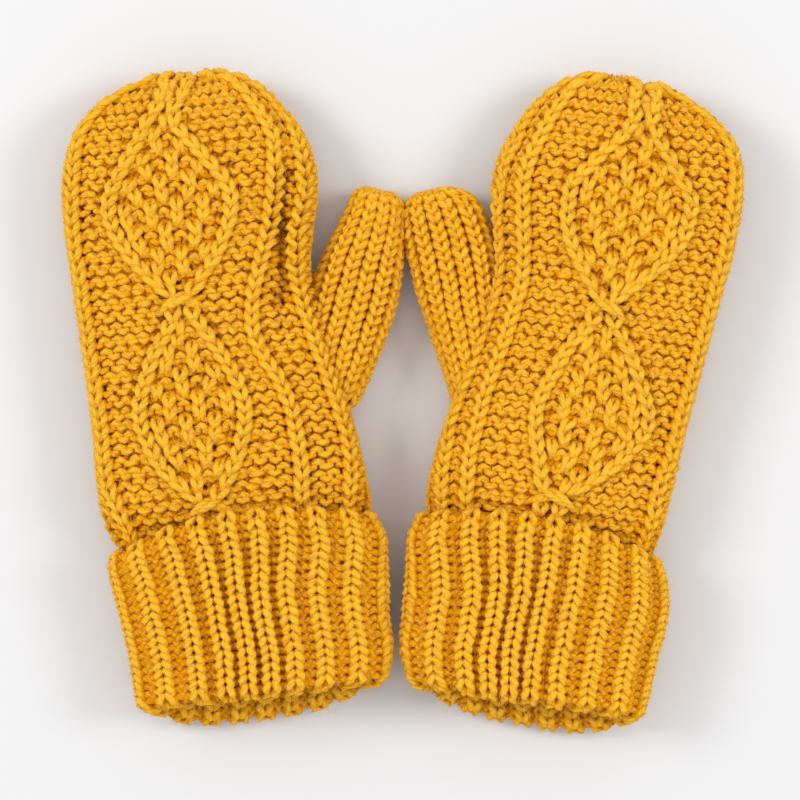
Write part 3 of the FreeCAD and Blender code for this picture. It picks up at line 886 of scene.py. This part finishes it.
# %% Rib cloth
CUFFS = {
    "left": {"outer": [(-2, -48.5), (8, -49.4), (32, -50.6), (56, -53.8), (66, -54.6), (72, -53)],
             "inner": [(-2, 49.5), (8, 52.6), (20, 56.2), (32, 56.2), (56, 58.2), (66, 58.2),
                       (72, 56)]},
    "right": {"outer": [(-2, -47.5), (10, -48.2), (34, -50.0), (50, -51.4), (58, -50.4),
                        (66, -47.5), (72, -45)],
              "inner": [(-2, 46.5), (10, 49.6), (22, 54.4), (34, 55.4), (58, 57), (66, 57.4),
                        (72, 56)]},
}
RIB_PITCH = 3.62
RIBS = 19
CUFF_MIDDLE = 17.6   # height of the cuff's middle over the table
CUFF_HALF = 14.5     # its half thickness
CUFF_YARN_OUT = 3.1  # how far its yarn reaches past the cloth
DROOP = {"left": 9.5, "right": 8.5}    # how far its top edge hangs down at the sides
ROLL = 2.0           # radius of the rolled cast-off edge
LIP = 1.6            # how far the top edge stands off the hand
LAYERS = 2.3         # half the distance between the two layers at the fold
TUCK = 9.0           # how far the cloth goes up the inside


def turnup_cloth(hand):
    """The cloth of the turn-up from its cast-off edge, over the fold and into the mouth."""
    shape = CUFFS[hand]
    cos, sin = round_section(np.pi, -np.pi, 3.0, 401)
    side = np.abs(cos)
    fold = np.where(sin > 0, 9.2 - 1.2 * side ** 8, -1.6 + 10.0 * side ** 3.5 + 1.4 * cos)
    slant = 2.2 * cos * side
    top = np.where(sin > 0, 78.3 - DROOP[hand] * side ** 2.2 + slant, 70.0 + slant)
    rows = []
    steps = ([("roll", a) for a in np.linspace(-np.pi * 0.55, 0, 8)[:-1]]
             + [("out", t) for t in np.linspace(0, 1, 60)]
             + [("bend", a) for a in np.linspace(0, np.pi, 16)[1:]]
             + [("in", t) for t in np.linspace(0, 1, 10)[1:]])
    for kind, t in steps:
        if kind == "roll":
            y = top - ROLL * np.sin(t)
            inset = ROLL * (1 - np.cos(t))
        elif kind == "out":
            y = top + (fold + LAYERS - top) * t
            inset = 0.0
        elif kind == "bend":
            y = fold + LAYERS - LAYERS * np.sin(t)
            inset = LAYERS * (1 - np.cos(t))
        else:
            y = fold + LAYERS + TUCK * t
            inset = 2 * LAYERS + 0.6 * t
        outer = follow(shape["outer"], y) + CUFF_YARN_OUT + inset
        inner = follow(shape["inner"], y) - CUFF_YARN_OUT - inset
        x = (outer + inner) / 2 + (inner - outer) / 2 * cos
        lip = LIP * np.exp(-((top - y) / 7.0) ** 2) * np.clip(sin, 0, 1)
        z = CUFF_MIDDLE + (CUFF_HALF - inset) * sin + lip
        rows.append(np.stack([x, y, z], axis=1))
    points = np.array(rows)
    middle = points[:, 100]
    run = np.concatenate([[0], np.cumsum(np.linalg.norm(np.diff(middle, axis=0), axis=1))])
    even = np.linspace(0, run[-1], 140)
    high = np.searchsorted(run, even).clip(1, len(run) - 1)
    t = ((even - run[high - 1]) / (run[high] - run[high - 1]))[:, None, None]
    points = points[high - 1] * (1 - t) + points[high] * t
    cloth, normal = make_cloth(even_columns(points, 241), True)
    return (cloth, -normal), run[-1]


for hand in CUFFS:
    print(hand, "turn-up, from edge to edge:", round(turnup_cloth(hand)[1], 1), "mm")

# %% [markdown]
# ### Ribs
# Knit stitches spring forward and hide the purl ones between them. In the middle of each cuff the
# ribs are pushed together and stand close, and near the sides they open. One even width for all
# would look like a printed stripe.

# %% Ribs of the turn-up and the inner cuff
INNER_PITCH = 2.6
SLEEVE_LOW, SLEEVE_HIGH = 10, 73       # where the inner cuff ends, over the fold
SLEEVE_IN = 9.4                        # how far its sides lie inside the turn-up's
SLEEVE_HALF = 9.6                      # its half thickness
SLEEVE_MIDDLE = 17.5                   # height of its middle over the table


def rib_edges(knit, purl):
    """Borders of knit and purl stitches in turn, from the width of each."""
    pairs = np.stack([knit, purl], axis=1).ravel()
    return np.concatenate([[0.0], np.cumsum(pairs)]) / pairs.sum()


def drawn_in(hand, down):
    """How far each rib is pushed against the next: most in the middle, growing towards the fold."""
    place = np.arange(RIBS) / RIBS * 2.0
    middle = 0.40 if hand == "left" else 0.52
    shut = np.exp(-((place - middle) / 0.2) ** 4) * np.clip((down + 0.05) / 0.42, 0, 1)
    wide = np.exp(-((place - 0.88) / 0.16) ** 2) + 0.8 * np.exp(-((place - 0.1) / 0.12) ** 2)
    return shut, wide


def turnup_courses(hand, dice):
    cloth, length = turnup_cloth(hand)
    courses = []
    for at in np.arange(1.6, length - 1.0, RIB_PITCH):
        shut, wide = drawn_in(hand, at / length)
        edges = rib_edges(0.77 - 0.06 * shut, 0.23 - 0.21 * shut + 0.12 * wide)
        lift = np.stack([1.0 + 0.2 * shut, -1.7 - 1.6 * shut], axis=1).ravel()
        tight = np.repeat(0.24 - 0.05 * shut, 2)[:, None]
        pinch = np.repeat(0.07 - 0.035 * shut, 2)[:, None]
        courses.append(course(cloth, at, length, RIB_PITCH, edges, [1, -1] * RIBS, lift,
                              [0.0] * 2 * RIBS, 1.0, True, dice, tall=1.6, tight={1: tight, -1: 0.12},
                              pinch={1: pinch, -1: 0.0}))
    return courses


def inner_courses(hand, dice):
    """The sleeve inside the turn-up, in thinner and denser rows."""
    shape = CUFFS[hand]
    y = np.linspace(SLEEVE_LOW, SLEEVE_HIGH, 80)
    cos, sin = round_section(np.pi, -np.pi, 2.8, 301)
    slack = follow([(SLEEVE_LOW, 0), (22, 0), (30, 1.6), (SLEEVE_HIGH, 1.8)], y)
    outer = follow(shape["outer"], np.full_like(y, 8.0)) + SLEEVE_IN - slack
    inner = follow(shape["inner"], np.full_like(y, 8.0)) - SLEEVE_IN + slack
    x = ((outer + inner) / 2)[:, None] + ((inner - outer) / 2)[:, None] * cos[None, :]
    z = SLEEVE_MIDDLE + (SLEEVE_HALF + slack[:, None]) * sin[None, :]
    points = np.stack([x, np.broadcast_to(y[:, None], x.shape), z], axis=-1)
    cloth = make_cloth(even_columns(points, 181), True)
    edges = rib_edges(np.full(RIBS, 0.6), np.full(RIBS, 0.4))
    length = float(SLEEVE_HIGH - SLEEVE_LOW)
    return [course(cloth, at, length, INNER_PITCH, edges, [1, -1] * RIBS, [0.5, -0.5] * RIBS,
                   [0.0] * 2 * RIBS, 0.9, True, dice, steps=8)
            for at in np.arange(1.6, length - 1.0, INNER_PITCH)]


print("rows in the inner cuff:", len(inner_courses("left", np.random.default_rng(0))))

# %% [markdown]
# ## Fibres that stand off the yarn
# Brushed yarn never has a clean edge. Short fibres stand off it, lean along it and catch the light.
# Each one is a thin three-sided spike planted on the yarn at a random place. The thin ones are bent
# once and stand up, and the thicker ones are straight, lie nearly flat and blur the plies. A hair
# system would look the same, but it isn't part of a mesh and the exported model would lose it. The
# fibres are a piece of their own over each knitted piece, so they move with it.

# %% Fibres
CROWDING = 0.45      # how much more often fibres grow where the yarn stands high


def spikes(root, knee, tip, thick, away, flow):
    """Closed three-sided spikes, straight ones of four faces or bent ones of ten."""
    stages = [(root, 1.0)] if knee is None else [(root, 1.0), (knee, 0.8)]
    points = []
    for place, share in stages:
        for k in range(3):
            turn = 2 * np.pi * k / 3
            around = np.cos(turn) * away + np.sin(turn) * np.cross(away, flow)
            points.append(place + thick * share * around)
    points = np.stack(points + [tip], axis=1)
    if knee is None:
        pattern = [[0, 2, 1], [0, 1, 3], [1, 2, 3], [2, 0, 3]]
    else:
        pattern = [[0, 2, 1], [0, 1, 4], [0, 4, 3], [1, 2, 5], [1, 5, 4], [2, 0, 3], [2, 3, 5],
                   [3, 4, 6], [4, 5, 6], [5, 3, 6]]
    each = points.shape[1]
    faces = np.arange(len(points))[:, None, None] * each + np.array(pattern)[None]
    return points.reshape(-1, 3), faces.reshape(-1, 3)


def fibres(name, hand, courses, count, material, dice, radius=YARN):
    """One bent fibre for each four straight ones, as one object."""
    lines = np.concatenate([c[0] for c in courses])
    normals = np.concatenate([c[1] for c in courses])
    heights = np.concatenate([c[2] for c in courses])
    tangents = np.concatenate([np.gradient(c[0], axis=0) for c in courses])
    tangents /= np.linalg.norm(tangents, axis=1, keepdims=True) + 1e-9
    chance = np.exp(CROWDING * heights) / np.exp(CROWDING * heights).sum()
    parts, base = [], 0
    for number, bent in ((count, True), (4 * count, False)):
        pick = dice.choice(len(lines), number, p=chance)
        line, normal, tangent = lines[pick], normals[pick], tangents[pick]
        side = np.cross(tangent, normal)
        side /= np.linalg.norm(side, axis=1, keepdims=True) + 1e-9
        out = np.cross(side, tangent)
        angle = dice.uniform(-0.35 * np.pi, 1.35 * np.pi, number)[:, None]
        away = np.cos(angle) * side + np.sin(angle) * out
        wander = dice.standard_normal((number, 3))
        flow = tangent * dice.choice([-1.0, 1.0], number)[:, None]
        root = line + away * (radius - 0.2) + tangent * dice.uniform(-0.5, 0.5, (number, 1))
        if bent:
            reach = dice.uniform(0.8, 2.2, (number, 1)) * dice.uniform(0.5, 1.4, (number, 1))
            knee = root + reach * (0.55 * away + 0.75 * flow + 0.25 * wander)
            tip = knee + reach * (0.15 * away + 0.8 * flow + 0.45 * wander)
            thick = dice.uniform(0.045, 0.08, (number, 1))
        else:
            reach = dice.uniform(1.2, 3.0, (number, 1))
            knee = None
            tip = root + reach * (0.22 * away + 0.85 * flow + 0.22 * wander)
            thick = dice.uniform(0.07, 0.13, (number, 1))
        points, faces = spikes(root, knee, tip, thick, away, flow)
        parts.append((points, faces + base))
        base += len(points)
    points = np.concatenate([p for p, f in parts])
    faces = np.concatenate([f for p, f in parts])
    if hand == "right":
        faces = faces[:, ::-1]
    print(f"{name}: {len(faces)} triangles")
    return raw_mesh(name, hand, points, faces.ravel(), np.full(len(faces), 3), material)[0]


fuzz, tree, shader = blank("stray_yarn_fibres")
place = add(tree, "ShaderNodeTexCoord")
patch = add(tree, "ShaderNodeTexNoise", {"Scale": 900.0}, {"Vector": place.outputs["Object"]})
tree.links.new(ramp(tree, patch.outputs["Fac"], [(0.3, "#DC8C10"), (0.7, "#F8BE48")]),
               shader.inputs["Base Color"])
settle(shader, Roughness=0.7, Sheen_Weight=0.3)
print("fibre nodes:", len(tree.nodes))

# %% [markdown]
# ## Lining
# A thin fleece sleeve lies inside the knitting. It is hardly seen, but it closes the gaps between the
# loops, and its dark ochre is partly the lining's colour and partly painted shade for those gaps. A
# Solidify modifier could give a sleeve its wall. Both walls are taken straight from the knitting's
# own cloth, at two depths, so they take every dent and close up.

# %% Fleece shells
fleece, tree, shader = blank("ochre_fleece")
place = add(tree, "ShaderNodeTexCoord")
nap = add(tree, "ShaderNodeTexNoise", {"Scale": 700.0, "Detail": 6.0},
          {"Vector": place.outputs["Object"]})
# the fleece's ochre: the lining's own colour, darkened as painted shade for the gaps between the
# loops
tree.links.new(ramp(tree, nap.outputs["Fac"], [(0.3, "#A45A06"), (0.7, "#C87F18")]),
               shader.inputs["Base Color"])
pile = add(tree, "ShaderNodeBump", {"Strength": 0.9, "Distance": 0.0006},
           {"Height": nap.outputs["Fac"]})
tree.links.new(pile.outputs[0], shader.inputs["Normal"])
settle(shader, Roughness=1.0, Sheen_Weight=0.4)
print("fleece nodes:", len(tree.nodes))
FLEECE = (2.7, 4.3)          # depths of its two walls under the cloth of the hand
THUMB_FLEECE = (2.4, 3.8)    # and of the thumb
FLEECE_FROM, FLEECE_TO = 74, 254


def shell(name, hand, outside, inside, material):
    """A closed sleeve between two grids of rings, open at the first ring and shut at the last."""
    rings, girth = outside.shape[:2]
    points = np.concatenate([outside.reshape(-1, 3), inside.reshape(-1, 3),
                             outside[-1].mean(0)[None], inside[-1].mean(0)[None]])
    faces = []
    shift = rings * girth
    for r in range(rings - 1):
        for c in range(girth):
            d = (c + 1) % girth
            low, high = r * girth, (r + 1) * girth
            faces.append((low + c, low + d, high + d, high + c))
            faces.append((shift + low + d, shift + low + c, shift + high + c, shift + high + d))
    last = (rings - 1) * girth
    for c in range(girth):
        d = (c + 1) % girth
        faces.append((d, c, shift + c, shift + d))
        faces.append((last + c, last + d, 2 * shift))
        faces.append((shift + last + d, shift + last + c, 2 * shift + 1))
    mesh = bpy.data.meshes.new(name)
    if hand == "right":
        faces = [face[::-1] for face in faces]
    mesh.from_pydata(to_world(hand, points).tolist(), [], faces)
    mesh.update()
    mesh.polygons.foreach_set("use_smooth", np.ones(len(faces), bool))
    mesh.materials.append(material)
    thing = link(bpy.data.objects.new(name, mesh))
    bpy.ops.object.select_all(action="DESELECT")
    thing.select_set(True)
    bpy.context.view_layer.objects.active = thing
    bpy.ops.object.mode_set(mode="EDIT")
    bpy.ops.mesh.select_all(action="SELECT")
    bpy.ops.mesh.normals_make_consistent(inside=False)
    bpy.ops.object.mode_set(mode="OBJECT")
    thing.select_set(False)
    print(f"{name}: {len(faces)} faces")
    return thing


def hand_lining(hand):
    (top, top_out), y, _ = hand_cloth(hand, True)
    under, under_out = hand_cloth(hand, False)[0]
    first, last = np.searchsorted(y, FLEECE_FROM), np.searchsorted(y, FLEECE_TO)
    rows = [int(r) for r in np.linspace(first, last, 44)]
    columns = np.linspace(0, 180, 37).astype(int)

    def rings(depth):
        upper = (top - top_out * depth)[rows][:, columns]
        lower = (under - under_out * depth)[rows][:, columns[::-1]]
        return np.concatenate([upper, lower[:, 1:-1]], axis=1)

    return shell(f"{hand}_fleece", hand, rings(FLEECE[0]), rings(FLEECE[1]), fleece)


def thumb_lining(hand):
    points, out = thumb_cloth(hand)[0]
    rows = np.linspace(20, 141, 26).astype(int)
    columns = np.linspace(0, 144, 37).astype(int)[:-1]
    grid = [(points - out * depth)[rows][:, columns] for depth in THUMB_FLEECE]
    return shell(f"{hand}_thumb_fleece", hand, grid[0], grid[1], fleece)

# %% [markdown]
# ## Closing yarn
# The back meets the palm along both sides in a laced seam, and the last stitches of the crown and of
# the thumb are drawn up on a ring of yarn. Thin curves with a bevel would do for these. They use the
# knitting's own sweep instead, so that the yarn material finds its UV map and heights.

# %% Seams and drawn-up rings
CLOSING_YARN_SHADE = -0.6          # height that closing yarn's colour reads: painted shade, a little darker than the middle of the knitting
LACE_RISE, LACE_SWAY = 1.5, 0.9    # how far the seam's yarn winds over and along the edge
LACE_IN = 1.0                     # how far it lies inside the edge of the cloth
LACE_STEP = 0.6


def run_of_yarn(points, normal):
    normals = np.broadcast_to(np.array(normal, float), points.shape)
    # closing yarn gets the same painted shade all along
    return points, normals, np.full(len(points), CLOSING_YARN_SHADE), False


def side_seams(hand):
    """Two laced lines, one up each side of the hand."""
    (top, _), y, length = hand_cloth(hand, True)
    runs = []
    for column, sign in ((0, -1), (-1, 1)):
        up = np.arange(10, length - 4, LACE_STEP)
        row = up / length * (len(top) - 1)
        wind = 2 * np.pi * up / PITCH
        line = top[row.astype(int), column].copy()
        line[:, 2] += LACE_RISE * np.sin(wind)
        line[:, 0] -= sign * LACE_IN
        line[:, 1] = np.interp(row, np.arange(len(y)), y) + LACE_SWAY * np.cos(wind)
        runs.append(run_of_yarn(line, (sign, 0, 0.05)))
    return runs


def gather(centre, along, radius, turns=2.0):
    """A ring of yarn that winds inwards round the way the fabric points."""
    angle = np.linspace(0, 2 * np.pi * turns, int(26 * turns))
    along = np.array([along[0], along[1], 0.0])
    beside = np.array([along[1], -along[0], 0.0])
    up = np.array([0, 0, 1.0])
    spiral = radius * (1 - 0.18 * angle / angle[-1])
    line = (np.array(centre) + (spiral * np.cos(angle))[:, None] * beside
            + (0.8 * spiral * np.sin(angle))[:, None] * up
            + (1.3 * angle / angle[-1] + 0.4 * np.sin(5 * angle))[:, None] * along)
    return [run_of_yarn(line, along)]


print("points along the left side seams:", [len(run[0]) for run in side_seams("left")])

# %% [markdown]
# ## Both mittens
# Each knitted piece takes the place of its plain solid in the imported model, and most ride on their
# body. Two are left on no body: the thumb's tube where it leaves the hand, and the inner cuff, which
# hangs between the hand and the turn-up.

# %% Knit both mittens
SEED = {"left": 11, "right": 12}
MANY_FIBRES, FEW_FIBRES = 6000, 1800
CUFF_YARN, THIN_YARN, THUMB_TIE = 1.58, 1.2, 1.1
OUTWARDS = np.array([math.sin(THUMB_LEAN), math.cos(THUMB_LEAN)])    # the way the thumb points
THUMB_TIP = THUMB_FOLD + 38.2 * OUTWARDS
CROWN_DOWN, CROWN_HEIGHT = 5.5, 15.0   # of the drawn-up ring, under the top and over the table


def dress(hand, name, courses, body, node, dice, hairs, sides=SIDES, radius=YARN):
    """Yarn and its fibres, riding on a body in place of a node."""
    pieces = [build(f"{hand}_{name}", hand, courses, yarn, radius, sides)]
    if hairs:
        pieces.append(fibres(f"{hand}_{name}_fibres", hand, courses, hairs, fuzz, dice, radius))
    for piece in pieces:
        if body:
            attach(piece, f"{hand}_{body}")
        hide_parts(f"{hand}_{node}")
    return pieces


for hand in ("left", "right"):
    dice = np.random.default_rng(SEED[hand])
    dress(hand, "back_knit", back_courses(hand, dice), "hand", "hand_back", dice,
          MANY_FIBRES)
    dress(hand, "palm_knit", palm_courses(hand, dice), "hand", "hand_palm", dice,
          FEW_FIBRES)
    dress(hand, "turnup_knit", turnup_courses(hand, dice), "cuff", "cuff_turnup", dice,
          MANY_FIBRES, radius=CUFF_YARN)
    sleeve = dress(hand, "inner_cuff_knit", inner_courses(hand, dice), None, "cuff_inner",
                   dice, 0, sides=6, radius=THIN_YARN)[0]
    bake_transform(sleeve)
    dress(hand, "seam_yarn", side_seams(hand), "hand", "side_seam", dice, 0,
          radius=THIN_YARN)
    notch = (HANDS[hand]["notch"][0], HANDS[hand]["top"] - CROWN_DOWN, CROWN_HEIGHT)
    dress(hand, "crown_yarn", gather(notch, (0, 1), 4.0), "hand", "crown_gather",
          dice, 0, radius=THIN_YARN)
    lining = hand_lining(hand)
    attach(lining, f"{hand}_hand")
    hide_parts(f"{hand}_hand_lining")
    thumb = dress(hand, "thumb_knit", thumb_courses(hand, dice), None, "thumb", dice,
                  FEW_FIBRES)
    thumb_fleece = thumb_lining(hand)
    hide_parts(f"{hand}_thumb_lining")
    for piece in thumb + [thumb_fleece]:
        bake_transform(piece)
    dress(hand, "thumb_yarn", gather((*THUMB_TIP, THUMB_HEIGHT), OUTWARDS, 2.6, 1.6), "thumb",
          "thumb_gather", dice, 0, radius=THUMB_TIE)
